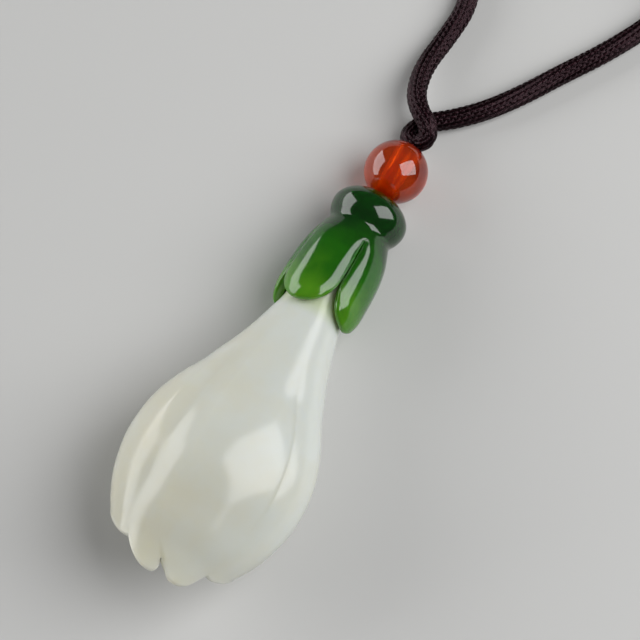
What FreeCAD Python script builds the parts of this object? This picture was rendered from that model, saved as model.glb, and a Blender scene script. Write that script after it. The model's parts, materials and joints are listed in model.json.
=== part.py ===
"""Jade pendant: a white magnolia bud in a green calyx cap, a carnelian bead and a knotted neck cord.

The bud, cap and bead share one axis. They are drawn upright about it, with the middle of the bead
at zero, the cord side up (+Z) and the front of the pendant facing -Y. The pendant is then laid on
its back: the tip of the bud points to -Y, the front faces up, and belly and collar touch z = 0.
All lengths are millimetres.
"""
import FreeCAD, Part
import math
import os
import Sketcher

V = FreeCAD.Vector

# Driving sizes, in millimetres
SIZES = {
    "bead_diameter": 7.0,
    "thread_diameter": 0.6,
    "thread_leg_gap": 0.16,
    "thread_clearance": 0.17,
    "bead_seat_gap": 0.25,
    "collar_diameter": 8.7,
    "collar_height": 4.3,
    "collar_face_diameter": 4.0,
    "collar_shoulder_radius": 2.45,
    "groove_diameter": 7.4,
    "groove_width": 0.95,
    "calyx_height": 11.45,
    "calyx_diameter": 10.0,
    "calyx_swell_radius": 17.1,
    "lobe_tip_thickness": 0.75,
    "lobe_tip_radius": 3.6,
    "lobe_end_round": 1.1,
    "lobe_gap_top": 1.3,
    "lobe_gap_width": 0.3,
    "cavity_clearance": 0.2,
    "neck_mouth_diameter": 7.2,
    "neck_root_diameter": 6.0,
    "nose_diameter": 2.5,
    "nose_length": 1.05,
    "thread_hole_diameter": 0.9,
    "nose_side_gap": 0.2,
    "neck_length": 7.55,
    "bud_length": 32.9,
    "bud_width": 20.5,
    "bud_thickness": 15.2,
    "petal_crease_depth": 0.5,
    "petal_thickness": 0.95,
    "tip_hollow_depth": 5.5,
    "inner_petal_height": 2.5,
    "overrun": 2.0,
    "cord_diameter": 2.3,
    "coil_outer_radius": 18.4,
    "coil_turn_gap": 0.55,
    "knot_distance": 5.6,
}
STEEPEST_TILT = 15.0
LOBES = 4
LOBE_TURN = 21.0
COIL_TURNS = 7.5

# Shares of named sizes at which the cap's profile and the thread's bends lie
COLLAR_WIDE_SHARE = 0.54
GROOVE_STEP_SHARE = 0.3
GROOVE_ARC_SHARE = 0.62
CALYX_WIDE_SHARE = 0.56
LOBE_END_ARC_SHARE = 1.15
LEG_BEND_SHARE = 0.58
LEG_JOIN_SHARE = 0.6
PATH_BEND_SHARE = 0.45
LEAST_CUT_SHARE = 0.999

# Bud outline: share of the way from mouth to tip, then shares of half width and half thickness
BUD_OUTLINE_SHARES = [
    (0.000, 0.363, 0.484),
    (0.036, 0.395, 0.513),
    (0.103, 0.457, 0.566),
    (0.170, 0.532, 0.632),
    (0.237, 0.624, 0.704),
    (0.307, 0.722, 0.783),
    (0.371, 0.829, 0.855),
    (0.438, 0.917, 0.921),
    (0.505, 0.973, 0.967),
    (0.571, 0.995, 0.993),
    (0.635, 0.993, 0.997),
    (0.699, 0.959, 0.967),
    (0.766, 0.898, 0.908),
    (0.830, 0.802, 0.816),
    (0.866, 0.732, 0.743),
    (0.903, 0.654, 0.664),
    (0.939, 0.580, 0.592),
    (0.976, 0.517, 0.526),
    (1.000, 0.483, 0.493),
]
NECK_SECTIONS = 5
# Each crease between two petals, as degrees round the axis from the front at shares of the bud's length
CREASE_LEVEL_SHARES = [0.0, 0.17, 0.35, 0.50, 0.65, 0.81, 0.90, 0.97]
CREASE_TURNS = [
    (-100.0, -104.0, -110.0, -114.0, -117.0, -116.0, -113.0, -112.0),
    (-52.0, -43.0, -35.0, -33.0, -34.0, -37.5, -42.0, -40.0),
    (-24.0, -26.0, -25.0, -19.0, -12.5, -13.0, -8.0, 8.0),
    (17.5, 25.5, 37.0, 45.0, 48.0, 48.5, 54.0, 64.0),
    (74.0, 84.0, 95.0, 103.0, 108.0, 110.0, 108.0, 108.0),
    (170.0, 172.0, 174.0, 176.0, 178.0, 177.0, 175.0, 174.0),
]
CREASE_DEPTH_SHARES = [0.7, 1.0, 0.2, 0.5, 0.7, 0.7]
CREASE_FULL_SHARE = 0.45
# Each petal's end: shares of the bud's length at its left notch and its furthest point, then where
# across the petal the end leans, as two shares of its width
PETAL_END_SHARES = [
    (0.822, 0.915, 0.75, 1.00),
    (0.924, 0.985, 0.62, 0.95),
    (0.954, 0.982, 0.12, 0.80),
    (0.924, 0.922, 0.10, 0.35),
    (0.834, 0.868, 0.20, 0.80),
    (0.842, 0.868, 0.20, 0.80),
]
# Hollow of the tip: share of the hollow's depth above its floor, then share of its full section there
HOLLOW_SHARES = [(0.0, 0.70), (0.10, 0.92), (0.28, 1.0), (0.65, 1.0), (1.0, 1.0)]
# Inner petals: share of the hollow's full section at its floor
INNER_PETAL_SHARE = 0.64
LAP_DEGREES = 0.6

# Cord points, as x and y from the hang point and z from the floor, along the cord
LEFT_ROUTE = [
    (-17.4, 42.1, 1.15),
    (-17.4, 37.0, 1.15),
    (-14.7, 31.0, 1.15),
    (-9.6, 25.6, 1.15),
    (-4.9, 21.2, 1.15),
    (-2.7, 16.4, 1.15),
    (-3.0, 11.6, 1.2),
    (-3.45, 7.4, 1.9),
]
KNOT_ROUTE = [
    (-2.75, 3.9, 2.7),
    (-1.35, 1.9, 3.5),
    (0.5, 0.95, 3.65),
    (1.5, -0.35, 2.6),
    (0.35, -1.15, 1.35),
    (-1.5, -0.85, 1.15),
    (-1.75, 0.85, 1.15),
    (-0.2, 2.1, 1.15),
    (2.2, 3.6, 1.15),
]
RIGHT_ROUTE = [
    (4.9, 6.3, 1.15),
    (7.5, 9.8, 1.15),
    (10.2, 14.2, 1.15),
    (13.0, 18.4, 1.15),
    (15.6, 23.2, 1.15),
    (17.6, 28.0, 1.3),
    (18.9, 32.8, 2.6),
    (19.4, 37.6, 4.0),
    (19.4, 42.1, 4.0),
]
COIL_CENTRE = (1.0, 44.4)


class Size:
    """A length with its value and the sheet expression that gives it."""

    def __init__(self, value, text):
        self.value = value
        self.text = text

    def __add__(self, other):
        return Size(self.value + other.value, f"({self.text} + {other.text})")

    def __sub__(self, other):
        return Size(self.value - other.value, f"({self.text} - {other.text})")

    def __mul__(self, factor):
        return Size(self.value * factor, f"({self.text} * {factor})")

    def __truediv__(self, factor):
        return Size(self.value / factor, f"({self.text} / {factor})")


def make_sheet(doc):
    """Write the driving sizes to a spreadsheet and return them as Size objects."""
    sheet = doc.addObject("Spreadsheet::Sheet", "Sizes")
    sizes = {}
    for row, (name, value) in enumerate(SIZES.items(), start=1):
        sheet.set(f"A{row}", name)
        sheet.set(f"B{row}", str(value))
        sheet.setAlias(f"B{row}", name)
        sizes[name] = Size(value, f"Sizes.{name}")
    doc.recompute()
    return sizes


def bind(thing, **lengths):
    """Bind properties of a document object to sheet expressions."""
    for name, size in lengths.items():
        thing.setExpression(name, size.text)


# Levels along the axis, measured down from the middle of the bead
class Levels:
    """Distances from the middle of the bead towards the tip of the bud."""

    def __init__(self, s):
        self.cap_top = s["bead_diameter"] / 2 + s["bead_seat_gap"]
        self.collar_wide = self.cap_top + s["collar_height"] * COLLAR_WIDE_SHARE
        self.groove_top = self.cap_top + s["collar_height"]
        self.groove_end = self.groove_top + s["groove_width"]
        self.calyx_wide = self.groove_end + s["calyx_height"] * CALYX_WIDE_SHARE
        self.mouth = self.groove_top + s["calyx_height"]
        self.lobe_round = self.mouth - s["lobe_end_round"]
        self.shoulder = self.mouth - s["neck_length"]
        self.cavity_end = self.shoulder - s["cavity_clearance"]
        self.hole = self.shoulder - s["nose_length"]
        self.hole_end = self.hole + s["nose_length"] * 2
        self.leg_bend = self.hole - s["nose_diameter"] * LEG_BEND_SHARE
        self.leg_join = self.leg_bend - s["nose_diameter"] * LEG_JOIN_SHARE
        self.cone_end = self.leg_bend - s["thread_diameter"]
        self.cone_top = self.leg_join - s["thread_diameter"]
        self.tip = self.mouth + s["bud_length"]
        self.hollow_floor = self.tip - s["tip_hollow_depth"]


def leg_spacing(s):
    """Distance of each thread leg from the axis."""
    return (s["thread_diameter"] + s["thread_leg_gap"]) / 2


def bore_radius(s):
    """Radius of the bore that the two thread legs pass through."""
    return leg_spacing(s) + s["thread_diameter"] / 2 + s["thread_clearance"]


def side_spacing(s):
    """Distance from the axis of the thread legs that pass beside the nose."""
    return s["nose_diameter"] / 2 + s["nose_side_gap"] + s["thread_diameter"] / 2


def origin_plane(body, role):
    """Return the body's own origin plane of the given role."""
    return next(f for f in body.Origin.OriginFeatures if f.Role == role)


def closed_sketch(body, name, corners, arcs):
    """Draw a closed profile on the XZ plane: corners hold (across, down, side) sizes.

    arcs maps the index of a corner to (radius, side) of the arc from it to the next corner, where
    side 1 bulges to the left of the way travelled and -1 to the right.
    """
    sketch = body.newObject("Sketcher::SketchObject", name)
    sketch.AttachmentSupport = [(origin_plane(body, "XZ_Plane"), "")]
    sketch.MapMode = "FlatFace"
    points = [V(side * across.value, -down.value, 0) for across, down, side in corners]
    ends = []
    for i, start in enumerate(points):
        stop = points[(i + 1) % len(points)]
        if i not in arcs:
            sketch.addGeometry(Part.LineSegment(start, stop), False)
            ends.append((1, 2))
            continue
        radius, side = arcs[i]
        middle = (start + stop) * 0.5
        way = stop - start
        half = way.Length / 2
        left = V(-way.y, way.x, 0).normalize()
        centre = middle - left * side * math.sqrt(radius.value ** 2 - half ** 2)
        first, last = (stop, start) if side > 0 else (start, stop)
        angles = [math.atan2(p.y - centre.y, p.x - centre.x) for p in (first, last)]
        circle = Part.Circle(centre, V(0, 0, 1), radius.value)
        sketch.addGeometry(Part.ArcOfCircle(circle, angles[0], angles[1]), False)
        ends.append((2, 1) if side > 0 else (1, 2))
    count = len(points)
    for i in range(count):
        following = (i + 1) % count
        sketch.addConstraint(Sketcher.Constraint("Coincident", i, ends[i][1], following, ends[following][0]))
    for i, (across, down, side) in enumerate(corners):
        if across.value == 0:
            sketch.addConstraint(Sketcher.Constraint("PointOnObject", i, ends[i][0], -2))
        else:
            pair = (-1, 1, i, ends[i][0]) if side > 0 else (i, ends[i][0], -1, 1)
            number = sketch.addConstraint(Sketcher.Constraint("DistanceX", *pair, across.value))
            sketch.setExpression(f"Constraints[{number}]", across.text)
        number = sketch.addConstraint(Sketcher.Constraint("DistanceY", i, ends[i][0], -1, 1, down.value))
        sketch.setExpression(f"Constraints[{number}]", down.text)
    for i, (radius, side) in arcs.items():
        number = sketch.addConstraint(Sketcher.Constraint("Radius", i, radius.value))
        sketch.setExpression(f"Constraints[{number}]", radius.text)
    return sketch


def make_calyx_cap(doc, s, levels):
    """Green cap: collar, groove and four lobes round the neck of the bud, bored for the thread."""
    body = doc.addObject("PartDesign::Body", "calyx_cap")
    half_bore = bore_radius(s)
    mouth_inside = s["neck_mouth_diameter"] / 2 + s["cavity_clearance"]
    root_inside = s["neck_root_diameter"] / 2 + s["cavity_clearance"]
    nose_inside = side_spacing(s) + s["thread_diameter"] / 2 + s["cavity_clearance"]
    lobe_outside = s["calyx_diameter"] / 2
    wall = [
        (half_bore, levels.cap_top, 1),
        (s["collar_face_diameter"] / 2, levels.cap_top, 1),
        (s["collar_diameter"] / 2, levels.collar_wide, 1),
        (s["groove_diameter"] / 2, levels.groove_top, 1),
        (s["groove_diameter"] / 2 + s["groove_width"] * GROOVE_STEP_SHARE, levels.groove_end, 1),
        (lobe_outside, levels.calyx_wide, 1),
        (lobe_outside, levels.lobe_round, 1),
        (mouth_inside + s["lobe_tip_thickness"] / 2, levels.mouth, 1),
        (mouth_inside, levels.mouth - s["lobe_tip_thickness"] / 2, 1),
        (root_inside, levels.cavity_end, 1),
        (nose_inside, levels.cavity_end, 1),
        (nose_inside, levels.cone_end, 1),
        (half_bore, levels.cone_top, 1),
    ]
    arcs = {
        1: (s["collar_shoulder_radius"], 1),
        2: (s["collar_shoulder_radius"], 1),
        3: (s["groove_width"] * GROOVE_ARC_SHARE, -1),
        4: (s["calyx_swell_radius"], 1),
        6: (s["lobe_end_round"] * LOBE_END_ARC_SHARE, 1),
        7: (s["lobe_tip_thickness"] / 2, 1),
    }
    profile = closed_sketch(body, "CapWall", wall, arcs)
    turned = body.newObject("PartDesign::Revolution", "CapTurned")
    turned.Profile = profile
    turned.ReferenceAxis = (profile, ["V_Axis"])
    turned.Angle = 360.0
    doc.recompute()
    whole = turned.Shape.Volume

    gap_top = levels.groove_end + s["lobe_gap_top"]
    gap_half = s["lobe_gap_width"] / 2
    gap_open = levels.mouth - s["lobe_tip_radius"]
    reach = gap_half + s["lobe_tip_radius"]
    below = levels.mouth + s["overrun"]
    centre = Size(0.0, "0.0")
    gap = [
        (centre, gap_top, 1),
        (gap_half, gap_open, 1),
        (reach, levels.mouth, 1),
        (reach, below, 1),
        (reach, below, -1),
        (reach, levels.mouth, -1),
        (gap_half, gap_open, -1),
    ]
    gap_arcs = {1: (s["lobe_tip_radius"], -1), 5: (s["lobe_tip_radius"], -1)}
    outline = closed_sketch(body, "LobeGap", gap, gap_arcs)
    pocket = body.newObject("PartDesign::Pocket", "LobeGapCut")
    pocket.Profile = outline
    pocket.Type = 1
    pocket.Reversed = True
    doc.recompute()
    if pocket.Shape.Volume > whole * LEAST_CUT_SHARE:
        raise ValueError("the gap between two lobes points away from the cap")
    gaps = body.newObject("PartDesign::PolarPattern", "LobeGaps")
    gaps.Originals = [pocket]
    gaps.Axis = (profile, ["V_Axis"])
    gaps.Angle = 360.0
    gaps.Occurrences = LOBES
    body.Tip = gaps
    doc.recompute()
    return body


def make_bead(doc, s):
    """Round bead bored for the two legs of the thread."""
    ball = doc.addObject("Part::Sphere", "BeadBall")
    bind(ball, Radius=s["bead_diameter"] / 2)
    bore = doc.addObject("Part::Cylinder", "BeadBore")
    bind(bore, Radius=bore_radius(s), Height=s["bead_diameter"] * 2)
    bore.setExpression("Placement.Base.z", f"-{s['bead_diameter'].text}")
    bead = doc.addObject("Part::Cut", "bead")
    bead.Base = ball
    bead.Tool = bore
    return bead


def between(low, high, share):
    """Smooth step from low to high as share runs from 0 to 1."""
    share = min(max(share, 0.0), 1.0)
    return low + (high - low) * share * share * (3.0 - 2.0 * share)


def crease_turn(number, share):
    """Turn of a crease round the axis at a share of the way from mouth to tip.

    It follows a cubic through the crease's known turns, with the slope between a turn's neighbours.
    """
    places = CREASE_LEVEL_SHARES
    turns = CREASE_TURNS[number]
    last = len(places) - 1
    share = min(max(share, places[0]), places[last])
    i = max(k for k in range(last) if places[k] <= share)
    slopes = []
    for k in (i, i + 1):
        low = max(k - 1, 0)
        high = min(k + 1, last)
        slopes.append((turns[high] - turns[low]) / (places[high] - places[low]))
    step = places[i + 1] - places[i]
    t = (share - places[i]) / step
    start = (1 + 2 * t) * (1 - t) ** 2 * turns[i] + t * (1 - t) ** 2 * step * slopes[0]
    end = t * t * (3 - 2 * t) * turns[i + 1] + t * t * (t - 1) * step * slopes[1]
    return start + end


def bud_point(half_width, half_thickness, degrees, level):
    """Point of an oval section, turned from the front, at a level below the bead."""
    turn = math.radians(degrees)
    return V(half_width * math.sin(turn), -half_thickness * math.cos(turn), -level)


def petal_section(half_width, half_thickness, depth, share, level):
    """Closed wire of one arc for each petal, which meet in creases cut to their shares of a depth."""
    turns = [crease_turn(i, share) for i in range(len(CREASE_TURNS))]
    ends = []
    for turn, depth_share in zip(turns, CREASE_DEPTH_SHARES):
        cut = depth * depth_share
        ends.append(bud_point(half_width - cut, half_thickness - cut, turn, level))
    edges = []
    for i, start in enumerate(turns):
        after = (i + 1) % len(turns)
        stop = turns[after] if turns[after] > start else turns[after] + 360.0
        crown = bud_point(half_width, half_thickness, (start + stop) / 2, level)
        edges.append(Part.Arc(ends[i], crown, ends[after]).toShape())
    return Part.Wire(edges)


def petal_loft(s, levels):
    """Solid of the bud below the shoulder: round neck, then petals to the tip."""
    half_width = s["bud_width"].value / 2
    half_thickness = s["bud_thickness"].value / 2
    mouth = levels.mouth.value
    shoulder = levels.shoulder.value
    root = s["neck_root_diameter"].value / 2
    flare = s["neck_mouth_diameter"].value / 2 - root
    wires = []
    for i in range(NECK_SECTIONS):
        down = i / NECK_SECTIONS
        radius = root + flare * down
        level = shoulder + (mouth - shoulder) * down
        wires.append(petal_section(radius, radius, 0, 0.0, level))
    for share, width_share, thickness_share in BUD_OUTLINE_SHARES:
        depth = s["petal_crease_depth"].value * between(0.0, 1.0, share / CREASE_FULL_SHARE)
        level = mouth + share * (levels.tip.value - mouth)
        wires.append(petal_section(half_width * width_share, half_thickness * thickness_share,
                                   depth, share, level))
    return Part.makeLoft(wires, True, False)


def petal_end_wire(s, levels, number, radius, half_turn):
    """Closed outline of what lies beyond a petal's end, on a plane at a distance from the axis.

    The end is a curve from notch to notch whose two middle poles lie across the petal at its end's
    shares. Their level is where the middle of the curve reaches the petal's furthest point.
    """
    notch_share, end_share, *leans = PETAL_END_SHARES[number]
    next_notch_share = PETAL_END_SHARES[(number + 1) % len(PETAL_END_SHARES)][0]
    length = s["bud_length"].value
    mouth = levels.mouth.value
    notches = [mouth + length * notch_share, mouth + length * next_notch_share]
    end = mouth + length * end_share
    half = radius * math.tan(half_turn)
    poles = [V(-half, -radius, -notches[0])]
    for notch, lean in zip(notches, leans):
        poles.append(V(half * (2 * lean - 1), -radius, -(4 * end - notch) / 3))
    poles.append(V(half, -radius, -notches[1]))
    curve = Part.BezierCurve()
    curve.setPoles(poles)
    below = -(levels.tip + s["overrun"]).value
    corners = [poles[-1], V(half, -radius, below), V(-half, -radius, below), poles[0]]
    sides = [Part.LineSegment(a, b).toShape() for a, b in zip(corners, corners[1:])]
    return Part.Wire([curve.toShape()] + sides)


def beyond_petals(s, levels):
    """Solid of all that lies beyond the rounded ends of the petals, one wedge for each petal."""
    wedges = []
    count = len(CREASE_TURNS)
    for number in range(count):
        after = (number + 1) % count
        left = crease_turn(number, PETAL_END_SHARES[number][0]) - LAP_DEGREES
        right = crease_turn(after, PETAL_END_SHARES[after][0]) + LAP_DEGREES
        if right < left:
            right += 360.0
        half_turn = math.radians(right - left) / 2
        distances = [s["petal_thickness"].value, s["bud_width"].value / 2 + s["overrun"].value]
        wires = [petal_end_wire(s, levels, number, distance, half_turn) for distance in distances]
        wedge = Part.makeLoft(wires, True, True)
        wedge.rotate(V(), V(0, 0, 1), (left + right) / 2)
        wedges.append(wedge)
    return wedges[0].multiFuse(wedges[1:])


def oval(half_width, half_thickness, level):
    """Closed oval wire about the axis at a level, wider than thick."""
    return Part.Wire(Part.Ellipse(V(0, 0, -level), half_width, half_thickness).toShape())


def inside_petals(s, levels, level):
    """Half width and half thickness, as Size objects, one petal thickness inside the bud's outline."""
    shares, *tables = zip(*BUD_OUTLINE_SHARES)
    place = min((level.value - levels.mouth.value) / s["bud_length"].value, 1.0)
    i = max(k for k in range(len(shares) - 1) if shares[k] <= place)
    t = (place - shares[i]) / (shares[i + 1] - shares[i])
    halves = []
    for name, table in zip(("bud_width", "bud_thickness"), tables):
        outline_share = table[i] + (table[i + 1] - table[i]) * t
        halves.append(s[name] / 2 * outline_share - s["petal_thickness"])
    return halves


def tip_hollow(s, levels):
    """Solid of the hollow inside the petals of the tip."""
    depth = levels.tip + s["overrun"] - levels.hollow_floor
    wires = []
    for height_share, section_share in HOLLOW_SHARES:
        level = levels.hollow_floor + depth * height_share
        wide, thick = inside_petals(s, levels, level)
        wires.append(oval(wide.value * section_share, thick.value * section_share, level.value))
    return Part.makeLoft(wires, True, False)


def make_flower_bud(doc, s, levels):
    """White bud: petals, round neck, and a drilled nose that the thread carries."""
    petals = doc.addObject("Part::Feature", "BudPetals")
    petals.Shape = petal_loft(s, levels)
    nose = doc.addObject("Part::Cylinder", "BudNose")
    bind(nose, Radius=s["nose_diameter"] / 2, Height=s["nose_length"] * 2)
    nose.setExpression("Placement.Base.z", f"-{levels.hole_end.text}")
    nose_end = doc.addObject("Part::Sphere", "BudNoseEnd")
    bind(nose_end, Radius=s["nose_diameter"] / 2)
    nose_end.setExpression("Placement.Base.z", f"-{levels.hole.text}")
    solid = doc.addObject("Part::MultiFuse", "BudSolid")
    solid.Shapes = [petals, nose, nose_end]

    hole = doc.addObject("Part::Cylinder", "BudThreadHole")
    hole.Placement = FreeCAD.Placement(V(), FreeCAD.Rotation(V(0, 1, 0), 90))
    bind(hole, Radius=s["thread_hole_diameter"] / 2, Height=s["nose_diameter"] * 2)
    hole.setExpression("Placement.Base.x", f"-{s['nose_diameter'].text}")
    hole.setExpression("Placement.Base.z", f"-{levels.hole.text}")
    beyond = doc.addObject("Part::Feature", "BeyondPetals")
    beyond.Shape = beyond_petals(s, levels)
    hollow = doc.addObject("Part::Feature", "TipHollow")
    hollow.Shape = tip_hollow(s, levels)
    wide, thick = inside_petals(s, levels, levels.hollow_floor)
    core = doc.addObject("Part::Ellipsoid", "InnerPetals")
    bind(core, Radius1=s["inner_petal_height"], Radius2=wide * INNER_PETAL_SHARE,
         Radius3=thick * INNER_PETAL_SHARE)
    core.setExpression("Placement.Base.z", f"-{levels.hollow_floor.text}")
    bud = doc.addObject("Part::Cut", "BudDrilled")
    bud.Base = solid
    bud.Tool = hole
    tipped = doc.addObject("Part::Cut", "BudTipped")
    tipped.Base = bud
    tipped.Tool = beyond
    hollowed = doc.addObject("Part::Cut", "BudHollowed")
    hollowed.Base = tipped
    hollowed.Tool = hollow
    finished = doc.addObject("Part::Fuse", "flower_bud")
    finished.Base = hollowed
    finished.Tool = core
    return finished


def rounded_path(points):
    """Straight runs joined by tangent arcs, as large as the runs allow.

    Returns the edges, the index of the edge that starts each straight run, and the arc radii.
    """
    tangents = []
    radii = []
    for before, corner, after in zip(points, points[1:], points[2:]):
        come = corner - before
        leave = after - corner
        turn = come.getAngle(leave)
        reach = PATH_BEND_SHARE * min(come.Length, leave.Length)
        radii.append(reach / math.tan(turn / 2))
        come.normalize()
        leave.normalize()
        first = corner - come * reach
        last = corner + leave * reach
        bisect = (leave - come).normalize()
        centre = corner + bisect * math.hypot(reach, radii[-1])
        tangents.append((first, centre - bisect * radii[-1], last))
    edges = []
    runs = []
    here = points[0]
    for first, middle, last in tangents:
        runs.append(len(edges))
        edges.append(Part.LineSegment(here, first).toShape())
        edges.append(Part.Arc(first, middle, last).toShape())
        here = last
    runs.append(len(edges))
    edges.append(Part.LineSegment(here, points[-1]).toShape())
    return edges, runs, radii


def tube(edges, diameter):
    """Round tube along a chain of edges."""
    path = Part.Wire(edges)
    start = edges[0].Vertexes[0].Point
    way = edges[0].tangentAt(edges[0].FirstParameter)
    ring = Part.Wire([Part.makeCircle(diameter / 2, start, way)])
    solid = path.makePipeShell([ring], True, False)
    wanted = math.pi * diameter ** 2 / 4 * path.Length
    print(f"  tube length {path.Length:.1f}, volume {solid.Volume:.2f}, section times length {wanted:.2f}")
    return solid


def thread_points(s, levels):
    """Corners of the thread: down one leg, through the nose of the bud and up the other leg."""
    leg = leg_spacing(s).value
    side = side_spacing(s).value
    top = s["bead_diameter"].value / 2 + s["thread_leg_gap"].value
    one_side = [
        V(leg, 0, top),
        V(leg, 0, -levels.leg_join.value),
        V(side, 0, -levels.leg_bend.value),
        V(side, 0, -levels.hole.value),
    ]
    return one_side + [V(-p.x, 0, p.z) for p in reversed(one_side)]


def make_thread(doc, s, levels):
    """Thin thread that carries the bud from the knot."""
    edges, runs, radii = rounded_path(thread_points(s, levels))
    print("thread radii", [round(r, 2) for r in radii])
    thread = doc.addObject("Part::Feature", "hanging_thread")
    thread.Shape = tube(edges, s["thread_diameter"].value)
    return thread


def biarc(start, start_way, stop, stop_way):
    """Two arcs that leave start along start_way, meet smoothly and reach stop along stop_way."""
    chord = stop - start
    ways = start_way + stop_way
    open_turn = 2 * (1 - start_way.dot(stop_way))
    lean = chord.dot(ways)
    reach = (-lean + math.sqrt(lean ** 2 + open_turn * chord.dot(chord))) / open_turn
    joint = (start + stop + (start_way - stop_way) * reach) * 0.5
    return [arc_from(start, start_way, joint), arc_from(stop, stop_way * -1, joint, True)]


def arc_from(start, way, stop, backwards=False):
    """Arc that leaves start along way and ends at stop, drawn from stop if backwards is set."""
    chord = stop - start
    along = chord.dot(way)
    across = (chord - way * along)
    off = across.Length
    radius = chord.dot(chord) / (2 * off)
    aside = across * (1 / off)
    centre = start + aside * radius
    outward = (start - centre) + (stop - centre)
    middle = centre + outward.normalize() * radius
    if backwards:
        return Part.Arc(stop, middle, start).toShape()
    return Part.Arc(start, middle, stop).toShape()


def coil_station(turns, s, hang):
    """Point and direction of the coil after a number of turns from its outer bottom end."""
    pitch = s["cord_diameter"].value + s["coil_turn_gap"].value
    outer = s["coil_outer_radius"].value
    floor = s["cord_diameter"].value / 2
    middle = COIL_TURNS / 2
    climb = min(max((turns - middle) * 2 + 0.5, 0.0), 1.0)
    height = floor + pitch * between(0.0, 1.0, climb)
    inward = min(turns, COIL_TURNS - turns)
    radius = outer - pitch * inward
    slope = 0.0
    if turns < middle - 0.25:
        slope = -pitch
    if turns > middle + 0.25:
        slope = pitch
    if abs(turns - 0.0) < 0.01 or abs(turns - COIL_TURNS) < 0.01:
        slope = 0.0
    rise = 0.0
    if 0.0 < climb < 1.0:
        rise = pitch * 6.0 * climb * (1.0 - climb) * 2.0
    angle = math.pi * (1.0 - 2.0 * turns)
    centre = hang + V(COIL_CENTRE[0], COIL_CENTRE[1], 0)
    outwards = V(math.cos(angle), math.sin(angle), 0)
    along = V(math.sin(angle), -math.cos(angle), 0)
    point = centre + outwards * radius + V(0, 0, height)
    way = (along * (2 * math.pi * radius) + outwards * slope + V(0, 0, rise)).normalize()
    return point, way


def coil_edges(s, hang):
    """Biarcs of a quarter turn through the whole coil, with straight ends of one diameter."""
    stations = [coil_station(i / 4, s, hang) for i in range(int(COIL_TURNS * 4) + 1)]
    length = s["cord_diameter"].value
    start, way = stations[0]
    edges = [Part.LineSegment(start - way * length, start).toShape()]
    for (point, heading), (following, next_heading) in zip(stations, stations[1:]):
        edges += biarc(point, heading, following, next_heading)
    stop, way = stations[-1]
    edges.append(Part.LineSegment(stop, stop + way * length).toShape())
    return edges


def least_gap(edges, diameter):
    """Least clear gap between turns of the tube, from points along its middle line."""
    wire = Part.Wire(edges)
    points = wire.discretize(Number=1200)
    step = wire.Length / (len(points) - 1)
    apart = int(4 * diameter / step)
    least = min((points[i] - points[j]).Length
                for i in range(0, len(points), 2) for j in range(i + apart, len(points)))
    return least - diameter


def make_cord(doc, s, hang):
    """Neck cord: coil, two stretches and the knot, as one unbroken run of tube in four pieces."""
    diameter = s["cord_diameter"].value
    base = V(hang.x, hang.y, 0)
    route = [base + V(*p) for p in LEFT_ROUTE + KNOT_ROUTE + RIGHT_ROUTE]
    edges, runs, radii = rounded_path(route)
    print("cord radii", [round(r, 1) for r in radii])
    first = runs[len(LEFT_ROUTE) - 1]
    last = runs[len(LEFT_ROUTE) + len(KNOT_ROUTE) - 1] + 1
    spans = {"neck_cord_left": edges[:first], "knot": edges[first:last], "neck_cord_right": edges[last:]}
    pieces = []
    for name, span in spans.items():
        piece = doc.addObject("Part::Feature", name)
        piece.Shape = tube(span, diameter)
        pieces.append(piece)
    winding = coil_edges(s, base)
    coil = doc.addObject("Part::Feature", "neck_cord_coil")
    coil.Shape = tube(winding, diameter)
    print(f"coil turns {COIL_TURNS}, least gap {least_gap(winding, diameter):.2f}")
    total = sum(edge.Length for edge in edges + winding)
    print(f"whole cord {total:.1f}")
    return pieces + [coil]


def turned_box(part, turn):
    """Box of a part after a turn about the middle of the bead."""
    shape = part.Shape.copy()
    shape.Placement = FreeCAD.Placement(V(), turn) * shape.Placement
    return shape.optimalBoundingBox(False, False)


def lying_turn(degrees):
    """Turn that lays the pendant on its back with its tip end raised by some degrees."""
    return FreeCAD.Rotation(V(1, 0, 0), -(90.0 + degrees))


def resting_turn(bud, cap):
    """Turn at which the belly of the bud and the collar of the cap both touch the surface."""
    low, high = 0.0, STEEPEST_TILT
    for _ in range(14):
        middle = (low + high) / 2
        turn = lying_turn(middle)
        if turned_box(bud, turn).ZMin < turned_box(cap, turn).ZMin:
            low = middle
        else:
            high = middle
    print(f"lying tilt {low:.3f}")
    return lying_turn(low)


def lay_down(bud, cap, others, s):
    """Lay the pendant on its back with its box centred over the origin and return the hang point."""
    turn = resting_turn(bud, cap)
    parts = [bud, cap] + others
    box = FreeCAD.BoundBox()
    for part in parts:
        box.add(turned_box(part, turn))
    shift = V(-box.Center.x, -box.Center.y, -box.ZMin)
    for part in parts:
        part.Placement = FreeCAD.Placement(shift, turn) * part.Placement
    return shift + turn.multVec(V(0, 0, s["knot_distance"].value))


def check_and_write(doc, parts):
    """Stop on any failed object or shape, then write one STEP file for each part."""
    doc.recompute()
    for thing in doc.Objects:
        if "Invalid" in thing.State or "Error" in thing.State:
            raise ValueError(f"{thing.Name} is {thing.State}")
    for part in parts:
        shape = part.Shape
        if shape.isNull() or not shape.isValid() or len(shape.Solids) != 1:
            raise ValueError(f"{part.Label} has no valid single solid")
    os.makedirs("parts", exist_ok=True)
    for part in parts:
        box = part.Shape.BoundBox
        print(f"{part.Label}: volume {part.Shape.Volume:.1f}, x {box.XMin:.2f} {box.XMax:.2f},"
              f" y {box.YMin:.2f} {box.YMax:.2f}, z {box.ZMin:.2f} {box.ZMax:.2f}")
        part.Shape.exportStep(f"parts/{part.Label}.step")


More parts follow.
